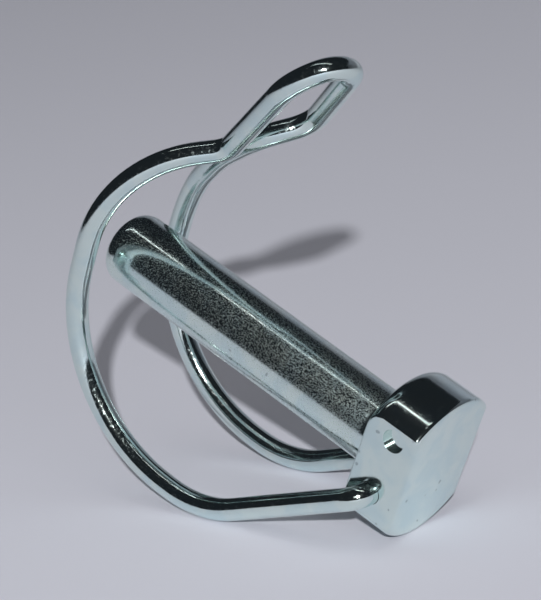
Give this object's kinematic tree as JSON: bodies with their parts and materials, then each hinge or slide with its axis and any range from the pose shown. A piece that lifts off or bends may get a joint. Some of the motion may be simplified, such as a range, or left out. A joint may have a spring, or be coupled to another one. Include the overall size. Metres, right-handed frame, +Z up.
{
  "type": "double wire lock pin",
  "caption": "Zinc-plated round lock pin with a flatted head and a sprung double-wire bail that snaps over the tip to hold it in a cross-drilled tube.",
  "frame": {"origin": "on the surface that the part rests on, under the middle of its outline", "axes": "+X from the head towards the tip, +Y towards the near bow, +Z up; the shank climbs 25.6 degrees towards its tip"},
  "size_m": [0.0563, 0.0216, 0.0615],
  "materials": {
    "pin_zinc": "bright clear zinc plating",
    "wire_zinc": "bright clear zinc plating"
  },
  "bodies": {
    "pin": {"pin": "pin_zinc"},
    "bail": {"bail": "wire_zinc"}
  },
  "joints": [
    {"name": "bail_swing", "type": "hinge", "parent": "pin", "child": "bail", "pos_m": [-0.01862, 0, 0.00758], "axis": [0, -1, 0], "range_deg": [-12, 290]}
  ]
}
